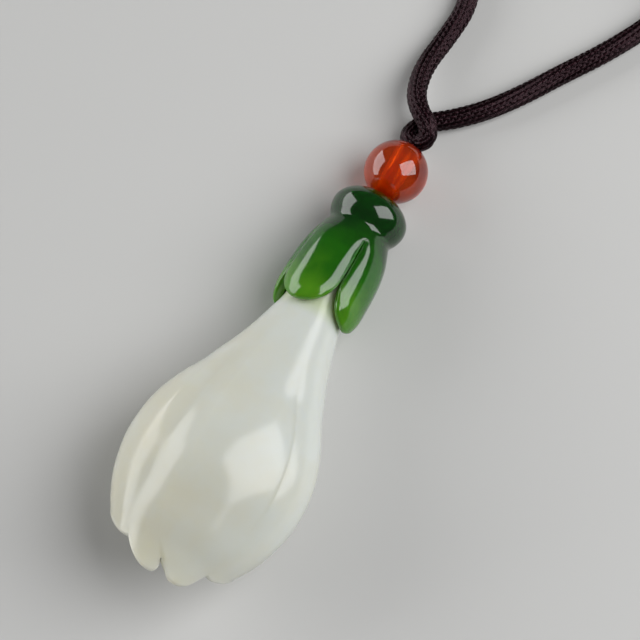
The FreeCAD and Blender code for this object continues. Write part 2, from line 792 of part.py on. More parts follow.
def main():
    """Build the pendant and write its parts."""
    doc = FreeCAD.newDocument("JadePendant")
    s = make_sheet(doc)
    levels = Levels(s)
    cap = make_calyx_cap(doc, s, levels)
    cap.Placement = FreeCAD.Placement(V(), FreeCAD.Rotation(V(0, 0, 1), LOBE_TURN))
    bead = make_bead(doc, s)
    bud = make_flower_bud(doc, s, levels)
    thread = make_thread(doc, s, levels)
    doc.recompute()
    hang = lay_down(bud, cap, [bead, thread], s)
    print("hang point", [round(v, 4) for v in hang])
    cord = make_cord(doc, s, hang)
    check_and_write(doc, [bud, cap, bead, thread] + cord)


main()
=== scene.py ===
"""Dress the jade flower-bud pendant: bud, lobed cap, bead, thread, knot and braided neck cord.

Sizes of the pieces are millimetres, as a maker would give them, and become metres where a mesh is
made. The bud, cap and bead share one axis. Levels along it run from the middle of the bead to the
tip of the bud, and turns about it are degrees from the front of the pendant towards its right.
"""
import json
import logging
import math
from collections.abc import Sequence
from dataclasses import dataclass
from enum import Enum
from functools import cached_property

import bpy
import numpy as np
from mathutils import Matrix, Quaternion, Vector


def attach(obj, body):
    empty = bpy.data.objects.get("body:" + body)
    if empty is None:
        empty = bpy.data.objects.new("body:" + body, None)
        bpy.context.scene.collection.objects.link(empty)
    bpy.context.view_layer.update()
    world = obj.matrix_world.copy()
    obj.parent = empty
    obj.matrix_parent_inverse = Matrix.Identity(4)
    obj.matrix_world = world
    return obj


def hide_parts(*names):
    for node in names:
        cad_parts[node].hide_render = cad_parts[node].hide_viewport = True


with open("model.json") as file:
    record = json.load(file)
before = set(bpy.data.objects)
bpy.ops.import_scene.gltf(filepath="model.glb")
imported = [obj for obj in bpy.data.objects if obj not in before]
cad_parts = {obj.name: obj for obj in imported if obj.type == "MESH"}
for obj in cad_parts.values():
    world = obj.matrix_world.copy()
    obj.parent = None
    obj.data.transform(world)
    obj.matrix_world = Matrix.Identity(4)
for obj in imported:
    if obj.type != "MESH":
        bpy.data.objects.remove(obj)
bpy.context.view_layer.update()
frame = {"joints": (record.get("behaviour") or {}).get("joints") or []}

MM = 0.001
LOG = logging.getLogger("pendant")

# Cord points in metres, as x and y from the hang point and z from the floor, along the cord
LEFT_ROUTE = [
    (-0.0174, 0.0421, 0.00115), (-0.0174, 0.0370, 0.00115), (-0.0147, 0.0310, 0.00115),
    (-0.0096, 0.0256, 0.00115), (-0.0049, 0.0212, 0.00115), (-0.0027, 0.0164, 0.00115),
    (-0.0030, 0.0116, 0.0012), (-0.00345, 0.0074, 0.0019),
]
KNOT_ROUTE = [
    (-0.00275, 0.0039, 0.0027), (-0.00125, 0.0020, 0.0034), (0.0004, 0.0010, 0.0036),
    (0.0011, -0.0003, 0.0030), (0.0003, -0.0012, 0.0023), (-0.0010, -0.0010, 0.0020),
    (-0.0010, 0.0003, 0.0015), (-0.0001, 0.0019, 0.00115), (0.0022, 0.0036, 0.00115),
]
RIGHT_ROUTE = [
    (0.0049, 0.0063, 0.00115), (0.0075, 0.0098, 0.00115), (0.0102, 0.0142, 0.00115),
    (0.0130, 0.0184, 0.00115), (0.0156, 0.0232, 0.00115), (0.0176, 0.0280, 0.0013),
    (0.0189, 0.0328, 0.0026), (0.0194, 0.0376, 0.0040), (0.0194, 0.0421, 0.0040),
]
COIL_CENTRE = (0.0010, 0.0444)
COIL_TURNS = 7.5


class Body(Enum):
    """Bodies of the frame that pieces ride on."""

    CORD = "necklace_cord"
    DROP = "pendant_drop"
    BEAD = "loose_bead"
    CAP = "loose_cap"


class Slot(Enum):
    """Material slots of the record."""

    WHITE_JADE = "white_jade"
    GREEN_JADE = "green_jade"
    CARNELIAN = "carnelian"
    THREAD = "thread"
    CORD = "cord"


class Ends(Enum):
    """How the first and last row of a grid that closes round its columns are finished."""

    POLES = "each end closes in a point"
    RING = "the last row joins the first"


def smooth_curve(places: np.ndarray, knots: Sequence[float], values: Sequence[float]) -> np.ndarray:
    """Cubic curve through (knot, value) pairs whose slope at a knot is the central difference.

    Args:
        places: where the curve is wanted; places past the ends take the end values.
        knots: rising places of the known values.
        values: known values.

    Returns:
        The curve's value at each place.
    """
    at = np.asarray(knots, float)
    known = np.asarray(values, float)
    slopes = np.gradient(known, at)
    inside = np.clip(places, at[0], at[-1])
    i = np.clip(np.searchsorted(at, inside, side="right") - 1, 0, len(at) - 2)
    step = at[i + 1] - at[i]
    t = (inside - at[i]) / step
    start = (1 + 2 * t) * (1 - t) ** 2 * known[i] + t * (1 - t) ** 2 * step * slopes[i]
    end = t * t * (3 - 2 * t) * known[i + 1] + t * t * (t - 1) * step * slopes[i + 1]
    return start + end


def ease(share: np.ndarray) -> np.ndarray:
    """Smooth step: 3t^2 - 2t^3 of the share kept between 0 and 1."""
    t = np.clip(share, 0.0, 1.0)
    return t * t * (3.0 - 2.0 * t)


def joint_named(name: str) -> dict:
    """The frame's joint of a name."""
    return next(joint for joint in frame["joints"] if joint["name"] == name)


def add_object(name: str, data: bpy.types.ID) -> bpy.types.Object:
    """Put a new object with the given data in the scene."""
    made = bpy.data.objects.new(name, data)
    bpy.context.scene.collection.objects.link(made)
    return made


def unit(vectors: np.ndarray) -> np.ndarray:
    """Vectors made one unit long."""
    return vectors / np.linalg.norm(vectors, axis=-1, keepdims=True)


def lengths_along(line: np.ndarray) -> np.ndarray:
    """Length along a line of points up to each of them."""
    return np.concatenate([[0], np.cumsum(np.linalg.norm(np.diff(line, axis=0), axis=1))])


def rings(centres: np.ndarray, side: np.ndarray, upward: np.ndarray, angle: np.ndarray,
          radius: np.ndarray) -> np.ndarray:
    """Rings of points about the centres of a line.

    Args:
        centres: metres, shaped (rows, 3).
        side, upward: directions in which the angle is 0 and a quarter turn, each (rows, 3).
        angle, radius: radians and metres of each point, (rows, columns).

    Returns:
        Metres, shaped (rows, columns, 3).
    """
    return centres[:, None] + ((np.cos(angle) * radius)[..., None] * side[:, None]
                               + (np.sin(angle) * radius)[..., None] * upward[:, None])


def grid_object(name: str, points: np.ndarray, ends: Ends, lengthways: np.ndarray,
                layers: dict[str, np.ndarray] | None = None) -> bpy.types.Object:
    """Make a closed smooth mesh from a grid of points that closes round its columns.

    The grid is a surface of two parameters: the row and the column. Neighbouring points make
    quads, and the UV map holds the column as a share of one turn and the value in lengthways.

    Args:
        name: name of the new object.
        points: metres, shaped (rows, columns, 3).
        ends: how the first and last rows are finished.
        lengthways: second UV coordinate, shaped (rows, columns).
        layers: values for named point attributes, each shaped (rows, columns).

    Returns:
        The object, at the origin, with its faces pointing outwards.
    """
    rows, columns = points.shape[:2]
    ring = ends is Ends.RING
    row, column = np.indices((rows if ring else rows - 1, columns))
    corner_rows = np.stack([row, row, row + 1, row + 1], -1).reshape(-1, 4) % rows
    corner_columns = np.stack([column, column + 1, column + 1, column], -1).reshape(-1, 4)
    quads = corner_rows * columns + corner_columns % columns
    vertices = points.reshape(-1, 3)
    faces = quads.tolist()
    u = (corner_columns / columns).ravel()
    v = lengthways[corner_rows, corner_columns % columns].ravel()
    if not ring:
        vertices = np.vstack([vertices, points[0].mean(axis=0), points[-1].mean(axis=0)])
        this = np.arange(columns)
        for last, pair in ((False, (this + 1, this)), (True, (this, this + 1))):
            pole = np.full(columns, rows * columns + last)
            edge = [side % columns + last * (rows - 1) * columns for side in pair]
            faces += np.stack([*edge, pole], -1).tolist()
            u = np.append(u, np.stack([*pair, this + 0.5], -1) / columns)
            v = np.append(v, np.repeat(lengthways[-last], 3))
    mesh = bpy.data.meshes.new(name)
    mesh.from_pydata(vertices, [], faces)
    mesh.uv_layers.new(name="Surface").data.foreach_set("uv", np.stack([u, v], -1).ravel())
    for layer, values in (layers or {}).items():
        flat = values.reshape(-1)
        if not ring:
            flat = np.concatenate([flat, [values[0].mean(), values[-1].mean()]])
        mesh.attributes.new(layer, "FLOAT", "POINT").data.foreach_set("value", flat.astype(np.float32))
    mesh.polygons.foreach_set("use_smooth", np.ones(len(mesh.polygons), bool))
    a, b, c, d = (vertices[quads[:, corner]] for corner in range(4))
    volume = (a * np.cross(b, c)).sum() + (a * np.cross(c, d)).sum()
    if volume < 0:
        mesh.flip_normals()
    mesh.update()
    return add_object(name, mesh)


@dataclass(frozen=True)
class PendantAxis:
    """The axis that bead, cap and bud share, with the pendant's front and right."""

    centre: np.ndarray
    tipward: np.ndarray
    front: np.ndarray
    right: np.ndarray

    @classmethod
    def from_joint(cls, spin: dict) -> "PendantAxis":
        """The axis through the middle of the bead, from the joint that the bead turns on."""
        tipward = unit(-np.array(spin["axis"], float))
        right = np.array([1.0, 0.0, 0.0])
        return cls(np.array(spin["pos_m"], float), tipward, np.cross(tipward, right), right)

    def place(self, right: np.ndarray, front: np.ndarray, level: np.ndarray) -> np.ndarray:
        """Metres of points given in millimetres to the right, to the front and along the axis."""
        offsets = (np.asarray(right)[..., None] * self.right + np.asarray(front)[..., None] * self.front
                   + np.asarray(level)[..., None] * self.tipward)
        return self.centre + offsets * MM

    def turned(self, radius: np.ndarray, turn: np.ndarray, level: np.ndarray) -> np.ndarray:
        """Metres of points given by radius, turn in radians from the front, and level."""
        return self.place(radius * np.sin(turn), radius * np.cos(turn), level)


class NodeSketch:
    """Short way to add and join the nodes of one material."""

    noise_range = (0.3, 0.7)

    def __init__(self, name: str) -> None:
        """Start a material of the given name with a Principled shader."""
        self.material = bpy.data.materials.new(name)
        self.material.use_nodes = True
        self.tree = self.material.node_tree

    def feed(self, node: bpy.types.Node, inputs: dict) -> None:
        """Set inputs of a node, by name or number, to values, or join them to sockets."""
        for key, value in inputs.items():
            if isinstance(value, bpy.types.NodeSocket):
                self.tree.links.new(value, node.inputs[key])
            else:
                node.inputs[key].default_value = value

    def finish(self, inputs: dict) -> bpy.types.Material:
        """Feed the material's shader and hand over the material."""
        self.feed(self.tree.nodes["Principled BSDF"], inputs)
        return self.material

    def finish_stone(self, stone: "WhiteJade | GreenJade", body: object) -> bpy.types.Material:
        """Give the material a polished stone's surface over light that scatters in its body."""
        return self.finish({"Base Color": body, "Subsurface Weight": stone.scatter,
                            "Subsurface Radius": stone.scatter_colour,
                            "Subsurface Scale": stone.scatter_depth,
                            "Roughness": stone.roughness, "IOR": stone.refraction})

    def add(self, kind: str, inputs: dict | None = None, **settings: object) -> bpy.types.Node:
        """Add a node.

        Args:
            kind: the node's type.
            inputs: what its inputs are set to.
            settings: properties of the node.

        Returns:
            The node.
        """
        node = self.tree.nodes.new(kind)
        for key, value in settings.items():
            setattr(node, key, value)
        self.feed(node, inputs or {})
        return node

    def place(self) -> bpy.types.NodeSocket:
        """Place in the object's own coordinates."""
        return self.add("ShaderNodeTexCoord").outputs["Object"]

    def attribute(self, name: str) -> bpy.types.NodeSocket:
        """Value of a point attribute."""
        return self.add("ShaderNodeAttribute", attribute_name=name).outputs["Fac"]

    def math(self, operation: str, first: object, second: object = 0.0, third: object = 0.0,
             clamp: bool = False) -> bpy.types.NodeSocket:
        """Result of a Math node."""
        node = self.add("ShaderNodeMath", {0: first, 1: second, 2: third}, operation=operation,
                        use_clamp=clamp)
        return node.outputs[0]

    def span(self, value: object, low: float, high: float, to_low: float = 0.0,
             to_high: float = 1.0) -> bpy.types.NodeSocket:
        """Value mapped smoothly and kept between two ends."""
        node = self.add("ShaderNodeMapRange", {0: value, 1: low, 2: high, 3: to_low, 4: to_high},
                        interpolation_type="SMOOTHSTEP")
        return node.outputs[0]

    def swing(self, noise: bpy.types.NodeSocket, amount: float) -> bpy.types.NodeSocket:
        """Noise mapped from its usual range to minus and plus an amount."""
        return self.span(noise, *self.noise_range, -amount, amount)

    def blend(self, share: object, first: object, second: object,
              how: str = "MIX") -> bpy.types.NodeSocket:
        """Colour between two colours."""
        node = self.add("ShaderNodeMix", {0: share, 6: first, 7: second}, data_type="RGBA",
                        blend_type=how)
        return node.outputs[2]

    def noise(self, where: bpy.types.NodeSocket, size: float, detail: float = 3.0,
              roughness: float = 0.5) -> bpy.types.NodeSocket:
        """Grey noise whose features are about as large as size, in metres."""
        node = self.add("ShaderNodeTexNoise", {"Vector": where, "Scale": 1.0 / size,
                                               "Detail": detail, "Roughness": roughness})
        return node.outputs["Fac"]


def colour(red: float, green: float, blue: float) -> tuple[float, float, float, float]:
    """Linear colour with full alpha."""
    return (red, green, blue, 1.0)


@dataclass(frozen=True)
class WhiteJade:
    """Polished white jade: cloudy, translucent, faintly green and warmer towards the tip."""

    cool: tuple = colour(0.66, 0.69, 0.655)
    warm: tuple = colour(0.65, 0.635, 0.52)
    # painted light: green from the cap painted onto the neck near the cap's mouth
    cap_bleed_tint: tuple = colour(0.52, 0.62, 0.30)
    # colour multiplied into the creases as painted shade
    crease_shade_tint: tuple = colour(0.86, 0.84, 0.74)
    cloud_size: float = 0.006
    cloud_warmth: float = 0.22
    neck_warmth: float = 0.15
    tip_warmth: float = 0.75
    warming_length: float = 0.034
    side_warmth: float = 0.25
    half_width: float = 0.009
    # where the painted green light from the cap starts and ends, from the mouth, and how strong it is
    cap_bleed_start: float = -0.0008
    cap_bleed_end: float = 0.0014
    cap_bleed_share: float = 0.6
    scatter: float = 1.0
    scatter_depth: float = 0.0022
    scatter_colour: tuple = (1.0, 0.95, 0.8)
    roughness: float = 0.18
    refraction: float = 1.5

    def build(self, axis: PendantAxis, mouth_level: float) -> bpy.types.Material:
        """Make the material.

        Args:
            axis: the pendant's axis, for colours that change along it.
            mouth_level: level of the cap's mouth, in millimetres, near which green light from the cap
                is painted onto the neck.

        Returns:
            The material.
        """
        sketch = NodeSketch("white jade")
        place = sketch.place()
        split = sketch.add("ShaderNodeSeparateXYZ", {0: place}).outputs
        mouth_y = float(axis.centre[1] + axis.tipward[1] * mouth_level * MM)
        clouds = sketch.noise(place, self.cloud_size, 4.0, 0.55)
        lengthways = sketch.span(split["Y"], mouth_y, mouth_y - self.warming_length,
                                 self.neck_warmth, self.tip_warmth)
        sideways = sketch.span(split["X"], -self.half_width, self.half_width,
                               self.side_warmth, -self.side_warmth)
        warmth = sketch.math("ADD", lengthways, sideways)
        warmth = sketch.math("ADD", warmth, sketch.swing(clouds, self.cloud_warmth), clamp=True)
        body = sketch.blend(warmth, self.cool, self.warm)
        # painted shade: the creases, by the crease attribute, are darkened and yellowed by a multiplied
        # tint
        shaded_in_crease = sketch.blend(1.0, body, self.crease_shade_tint, "MULTIPLY")
        body = sketch.blend(sketch.attribute("crease"), body, shaded_in_crease)
        # painted light: the neck next to the cap's mouth is tinted green as if lit by the green cap
        near_cap = sketch.span(split["Y"], mouth_y + self.cap_bleed_start, mouth_y + self.cap_bleed_end)
        body = sketch.blend(sketch.math("MULTIPLY", near_cap, self.cap_bleed_share), body, self.cap_bleed_tint)
        return sketch.finish_stone(self, body)


@dataclass(frozen=True)
class GreenJade:
    """Polished green jade: deep green at the collar, yellow-green at the ends of the lobes, partly the
    stone's own colour and partly painted light through the thin lobe ends.
    """

    deep: tuple = colour(0.0005, 0.034, 0.0005)
    middle: tuple = colour(0.011, 0.120, 0.001)
    # lighter yellow-green of the lobe ends: partly the stone's own colour, partly painted light shining
    # through the thin lobes
    light: tuple = colour(0.085, 0.270, 0.007)
    middle_from: float = 0.28
    light_from: float = 0.62
    light_full: float = 1.02
    cloud_size: float = 0.0035
    cloud_drift: float = 0.07
    scatter: float = 0.8
    scatter_depth: float = 0.0009
    scatter_colour: tuple = (0.35, 1.0, 0.2)
    roughness: float = 0.1
    refraction: float = 1.62

    def build(self) -> bpy.types.Material:
        """Make the material. The second UV coordinate runs from 0 at the top to 1 at the mouth."""
        sketch = NodeSketch("green jade")
        coordinates = sketch.add("ShaderNodeTexCoord").outputs
        along = sketch.add("ShaderNodeSeparateXYZ", {0: coordinates["UV"]}).outputs["Y"]
        clouds = sketch.noise(coordinates["Object"], self.cloud_size, 3.0)
        drift = sketch.math("ADD", along, sketch.swing(clouds, self.cloud_drift))
        # towards the lobe ends the colour goes lighter: partly own colour, partly painted light through
        # the thin lobes
        body = sketch.blend(sketch.span(drift, self.middle_from, self.light_from), self.deep,
                            self.middle)
        body = sketch.blend(sketch.span(drift, self.light_from, self.light_full), body, self.light)
        return sketch.finish_stone(self, body)


@dataclass(frozen=True)
class Carnelian:
    """Polished orange-red carnelian that light passes through."""

    tint: tuple = colour(0.82, 0.085, 0.0006)
    vein: tuple = colour(0.30, 0.010, 0.0002)
    # painted light: lighter orange on the bore wall for the lit band along the bore
    bore_glow_tint: tuple = colour(0.95, 0.24, 0.01)
    vein_size: float = 0.0042
    vein_start: float = 0.38
    vein_full: float = 0.66
    wall_share: float = 0.5
    clearness: float = 0.75
    roughness: float = 0.03
    refraction: float = 1.58
    polish: float = 1.0

    def build(self) -> bpy.types.Material:
        """Make the material, less clear on the bore wall that the attribute bore marks, and with
        painted light there: a lighter orange for the lit band along the bore.
        """
        sketch = NodeSketch("carnelian")
        clouds = sketch.noise(sketch.place(), self.vein_size, 2.0)
        # painted light on the bore wall: a lighter orange, and less clear
        wall = sketch.math("MULTIPLY", sketch.attribute("bore"), self.wall_share)
        body = sketch.blend(sketch.span(clouds, self.vein_start, self.vein_full), self.tint, self.vein)
        clear = sketch.math("MULTIPLY_ADD", wall, -self.clearness, self.clearness)
        return sketch.finish({"Base Color": sketch.blend(wall, body, self.bore_glow_tint),
                              "Transmission Weight": clear, "Specular IOR Level": self.polish,
                              "Roughness": self.roughness, "IOR": self.refraction})


@dataclass(frozen=True)
class BraidedCord:
    """Dark burgundy nylon cord: silky yarn on each stitch, with painted shade nearly black between
    stitches.
    """

    yarn: tuple = colour(0.005, 0.0008, 0.0015)
    worn: tuple = colour(0.016, 0.0035, 0.006)
    # painted shade between the stitches
    gap: tuple = colour(0.0005, 0.0001, 0.0002)
    sheen: tuple = colour(1.0, 0.62, 0.72)
    worn_share: float = 0.7
    gap_height: float = 0.25
    yarn_height: float = 0.8
    fibres: float = 4.0
    fibre_slant: float = 0.9
    fibre_depth: float = 0.00003
    fibre_strength: float = 0.35
    roughness: float = 0.2
    gloss: float = 0.27

    def build(self, columns: int, slant: float) -> bpy.types.Material:
        """Make the material.

        Args:
            columns: columns of stitches round the cord.
            slant: slant of a stitch, in stitches per column.

        Returns:
            The material, which reads the UV map as a turn and a number of stitches, and the
            point attribute relief as the height of the yarn.
        """
        sketch = NodeSketch("braided cord")
        uv = sketch.add("ShaderNodeSeparateXYZ", {0: sketch.add("ShaderNodeTexCoord").outputs["UV"]})
        along = uv.outputs["Y"]
        across = sketch.math("MULTIPLY", uv.outputs["X"], float(columns))
        column = sketch.math("FLOOR", across)
        side = sketch.math("MULTIPLY_ADD", sketch.math("FLOORED_MODULO", column, 2.0), -2.0, 1.0)
        inside = sketch.math("SUBTRACT", sketch.math("SUBTRACT", across, column), 0.5)
        slanted = sketch.math("MULTIPLY_ADD", sketch.math("MULTIPLY", inside, side), slant, along)
        stitch = sketch.math("FLOOR", slanted)
        seat = sketch.add("ShaderNodeCombineXYZ", {0: column, 1: stitch})
        shade = sketch.add("ShaderNodeTexWhiteNoise", {"Vector": seat.outputs[0]},
                           noise_dimensions="2D").outputs["Value"]
        fibre_place = sketch.math("MULTIPLY_ADD", sketch.math("MULTIPLY", along, side),
                                  -self.fibre_slant, inside)
        fibre = sketch.math("SINE", sketch.math("MULTIPLY", fibre_place, 2.0 * math.pi * self.fibres))
        relief = sketch.attribute("relief")
        worn = sketch.span(shade, 0.0, 1.0, 0.0, self.worn_share)
        yarn = sketch.blend(worn, self.yarn, self.worn)
        # painted shade: where the relief is low, between the stitches, the colour goes to nearly black
        body = sketch.blend(sketch.span(relief, self.gap_height, self.yarn_height), self.gap, yarn)
        bump = sketch.add("ShaderNodeBump", {"Height": fibre, "Strength": self.fibre_strength,
                                             "Distance": self.fibre_depth})
        return sketch.finish({"Base Color": body, "Normal": bump.outputs[0],
                              "Roughness": self.roughness, "Specular IOR Level": self.gloss,
                              "Specular Tint": self.sheen})


@dataclass(frozen=True)
class WaxedThread:
    """Dark waxed thread."""

    tint: tuple = colour(0.020, 0.006, 0.008)
    worn: tuple = colour(0.050, 0.018, 0.022)
    fuzz_size: float = 0.0004
    roughness: float = 0.4

    def build(self) -> bpy.types.Material:
        """Make the material."""
        sketch = NodeSketch("waxed thread")
        fuzz = sketch.noise(sketch.place(), self.fuzz_size, 2.0)
        body = sketch.blend(sketch.span(fuzz, 0.4, 0.7), self.tint, self.worn)
        return sketch.finish({"Base Color": body, "Roughness": self.roughness})


@dataclass(frozen=True)
class PaleSurface:
    """Plain pale matt floor."""

    tint: tuple = colour(0.62, 0.62, 0.61)
    roughness: float = 0.6

    def build(self) -> bpy.types.Material:
        """Make the material."""
        return NodeSketch("pale floor").finish({"Base Color": self.tint, "Roughness": self.roughness})


def settle(piece: bpy.types.Object, body: Body, slot: Slot, material: bpy.types.Material,
           *nodes: str) -> bpy.types.Object:
    """Finish a piece: material, body and the frame's nodes that it stands for.

    Args:
        piece: the piece, already in place.
        body: the body that it rides on.
        slot: the record's slot of its finish; not used.
        material: its material.
        nodes: the frame's nodes that it replaces.

    Returns:
        The piece.
    """
    piece.data.materials.append(material)
    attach(piece, body.value)
    if nodes:
        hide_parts(*nodes)
    LOG.info("%s: %d points, rides on %s", piece.name, len(piece.data.vertices), body.value)
    return piece


@dataclass
class RoundBead:
    """Round bead with a straight bore."""

    diameter: float = 7.0
    bore_radius: float = 0.85
    bore_chamfer: float = 0.12
    columns: int = 128
    rows: int = 96

    def build(self, axis: PendantAxis, material: bpy.types.Material) -> bpy.types.Object:
        """Make the bead: a circle's arc from bore edge to bore edge, turned about the axis.

        Args:
            axis: the pendant's axis.
            material: the bead's material.

        Returns:
            The bead.
        """
        radius = self.diameter / 2
        edge = math.asin((self.bore_radius + self.bore_chamfer) / radius)
        arc = np.linspace(edge, math.pi - edge, self.rows)
        wall_end = math.sqrt(radius ** 2 - self.bore_radius ** 2) - self.bore_chamfer
        wall = np.linspace(wall_end, -wall_end, self.rows // 4)
        out = np.concatenate([radius * np.sin(arc), np.full(len(wall), self.bore_radius)])
        down = np.concatenate([-radius * np.cos(arc), wall])
        turn = np.arange(self.columns) * 2 * math.pi / self.columns
        out, turn, down = np.broadcast_arrays(out[:, None], turn, down[:, None])
        points = axis.turned(out, turn, down)
        lengthways = down / self.diameter + 0.5
        bore = (np.arange(len(out)) >= self.rows)[:, None] + 0.0 * turn
        made = grid_object("carnelian_bead", points, Ends.RING, lengthways, {"bore": bore})
        return settle(made, Body.BEAD, Slot.CARNELIAN, material, "bead")


@dataclass
class LobedCap:
    """Green cap: a rounded collar, a groove and four puffy lobes over the neck of the bud.

    Attributes:
        profile_levels, profile_radii: places that the outer profile runs through.
        lobe_turn: turn of the first lobe's middle line, in degrees.
        lean_start: how far above the gaps the columns start to lean towards the lobes' edges.
        lobe_end: length of a lobe's half elliptical end.
        slope_drop, edge_drop: how deep a lobe's edge slopes, and its very edge is rounded.
    """

    top: float = 3.75
    bore_radius: float = 0.85
    bore_chamfer: float = 0.15
    collar_face_radius: float = 1.7
    profile_levels: tuple[float, ...] = (3.75, 3.9, 4.3, 4.9, 5.5, 6.1, 6.8, 7.4, 7.85, 8.2, 8.55, 9.0,
                                         9.6, 10.45, 11.6, 13.0, 14.5, 16.2, 17.6, 19.2)
    profile_radii: tuple[float, ...] = (1.7, 2.45, 3.25, 3.9, 4.24, 4.35, 4.27, 4.05, 3.8, 3.68, 3.72,
                                        3.88, 4.12, 4.42, 4.68, 4.87, 4.96, 5.0, 5.02, 4.94)
    body_radius: float = 5.0
    mouth: float = 19.5
    lobe_tips: tuple[float, ...] = (19.5, 19.6, 18.3, 19.4)
    lobe_turn: float = -24.0
    gap_top: float = 10.3
    gap_width: float = 0.14
    lean_start: float = 1.2
    lobe_end: float = 3.9
    edge_width: float = 1.45
    slope_drop: float = 0.36
    edge_round: float = 0.3
    edge_drop: float = 0.36
    edge_fade: float = 3.2
    edge_inner_round: float = 0.35
    cavity_top: float = 11.75
    cavity_root_radius: float = 3.2
    cavity_mouth_radius: float = 3.8
    cone_radius: float = 2.25
    cone_level: float = 8.85
    cone_top: float = 7.35
    columns_per_lobe: int = 92
    upper_rows: int = 64
    outer_rows: int = 76
    inner_rows: int = 30
    row_power: float = 1.35
    collar_row_power: float = 1.25

    def outer_radius(self, level: np.ndarray) -> np.ndarray:
        """Outer radius at a level: collar, groove and swelling body through measured places."""
        return smooth_curve(level, self.profile_levels, self.profile_radii)

    def contour(self, tip: float) -> tuple[np.ndarray, np.ndarray]:
        """Edge of one lobe from gap top to gap top round its end.

        The edge runs straight down one side, round a half ellipse and straight up the other.

        Args:
            tip: level of the lobe's end.

        Returns:
            Arc lengths across from the lobe's middle line at the body's radius, and levels.
        """
        half = math.pi * self.body_radius / len(self.lobe_tips) - self.gap_width / 2
        side = self.columns_per_lobe // 4
        straight = np.linspace(0, 1, side, endpoint=False)
        way = np.linspace(math.pi, 0, self.columns_per_lobe - 2 * side)
        turn_level = tip - self.lobe_end
        falling = self.gap_top + (turn_level - self.gap_top) * straight
        across = np.concatenate([np.full(side, -half), half * np.cos(way), np.full(side, half)])
        down = np.concatenate([falling, turn_level + self.lobe_end * np.sin(way), falling[::-1]])
        return across, down

    def edge_distance(self, across: np.ndarray, level: np.ndarray, tip: float) -> np.ndarray:
        """Distance in the unrolled surface from each point of a lobe to the lobe's edge."""
        edge_across, edge_level = self.contour(tip)
        away = np.hypot(across[..., None] - edge_across, level[..., None] - edge_level)
        return away.min(axis=-1)

    def lobe_rows(self, tip: float) -> tuple[np.ndarray, np.ndarray, np.ndarray]:
        """Rows of points of one lobe's sector, from inside the bore over the outside and back in.

        Down to the start of the lobes every column follows the same profile. Below it a column runs
        straight, in the unrolled surface, to its own point of the lobe's edge, over a rounded rim
        and back up inside.

        Args:
            tip: level of the lobe's end.

        Returns:
            Arc lengths across from the lobe's middle line, levels and radii, each (rows, columns).
        """
        start = self.gap_top - self.lean_start
        columns = self.columns_per_lobe
        half = math.pi * self.body_radius / len(self.lobe_tips)
        edge_across, edge_level = self.contour(tip)
        top_across = np.linspace(-half, half, columns + 1)[:-1] + half / columns
        way = 1.0 - (1.0 - np.linspace(0, 1, self.outer_rows)[:, None]) ** self.row_power
        across = top_across + (edge_across - top_across) * way
        level = start + (edge_level - start) * way
        far = self.edge_distance(across, level, tip)
        slope = np.clip(1.0 - far / self.edge_width, 0.0, 1.0) ** 2
        edge = 1.0 - np.sqrt(1.0 - np.clip(1.0 - far / self.edge_round, 0.0, 1.0) ** 2)
        fade = ease((level - start) / self.edge_fade)
        out = self.outer_radius(level) - (self.slope_drop * slope + self.edge_drop * edge) * fade
        rim = self.outer_radius(edge_level) - (self.slope_drop + self.edge_drop) * fade[-1]

        back = np.linspace(1, 0, self.inner_rows)[1:, None]
        in_across = top_across + (edge_across - top_across) * back
        in_level = np.maximum(start + (edge_level - start) * back, self.cavity_top)
        down = (in_level - self.cavity_top) / (self.mouth - self.cavity_top)
        wall = self.cavity_root_radius + (self.cavity_mouth_radius - self.cavity_root_radius) * down
        in_near = self.edge_distance(in_across, in_level, tip) / self.edge_inner_round
        inner = np.minimum(wall + self.edge_inner_round * (1 - ease(in_near)), rim)

        upper, upper_radius = self.upper_profile(start)
        cone_levels = np.array([self.cavity_top, self.cone_level])
        same = np.ones(columns)
        return (np.concatenate([np.tile(top_across, (len(upper), 1)), across, in_across,
                                np.tile(top_across, (2, 1))]),
                np.concatenate([upper[:, None] * same, level, in_level, cone_levels[:, None] * same]),
                np.concatenate([upper_radius[:, None] * same, out, inner,
                                np.full((2, columns), self.cone_radius)]))

    def upper_profile(self, start: float) -> tuple[np.ndarray, np.ndarray]:
        """Levels and radii up the bore, over the top face and down the collar to a level."""
        bore = np.linspace(self.cone_top, self.top + self.bore_chamfer, 6)
        face = np.linspace(self.bore_radius + self.bore_chamfer, self.collar_face_radius, 5)[:-1]
        share = np.linspace(0, 1, self.upper_rows)[:-1] ** self.collar_row_power
        collar = self.top + (start - self.top) * share
        return (np.concatenate([bore, np.full(len(face), self.top), collar]),
                np.concatenate([np.full(len(bore), self.bore_radius), face, self.outer_radius(collar)]))

    def build(self, axis: PendantAxis, material: bpy.types.Material) -> bpy.types.Object:
        """Make the cap: its wall's profile carried round the axis, cut along the lobes' edges.

        Args:
            axis: the pendant's axis.
            material: the cap's material.

        Returns:
            The cap.
        """
        sector = 2 * math.pi / len(self.lobe_tips)
        turns, levels, radii = [], [], []
        for i, tip in enumerate(self.lobe_tips):
            across, level, radius = self.lobe_rows(tip)
            turns.append(across / self.body_radius + math.radians(self.lobe_turn) + i * sector)
            levels.append(level)
            radii.append(radius)
        level = np.concatenate(levels, axis=1)
        points = axis.turned(np.concatenate(radii, axis=1), np.concatenate(turns, axis=1), level)
        lengthways = (level - self.top) / (self.mouth - self.top)
        made = grid_object("jade_cap", points, Ends.RING, lengthways)
        return settle(made, Body.CAP, Slot.GREEN_JADE, material, "calyx_cap")


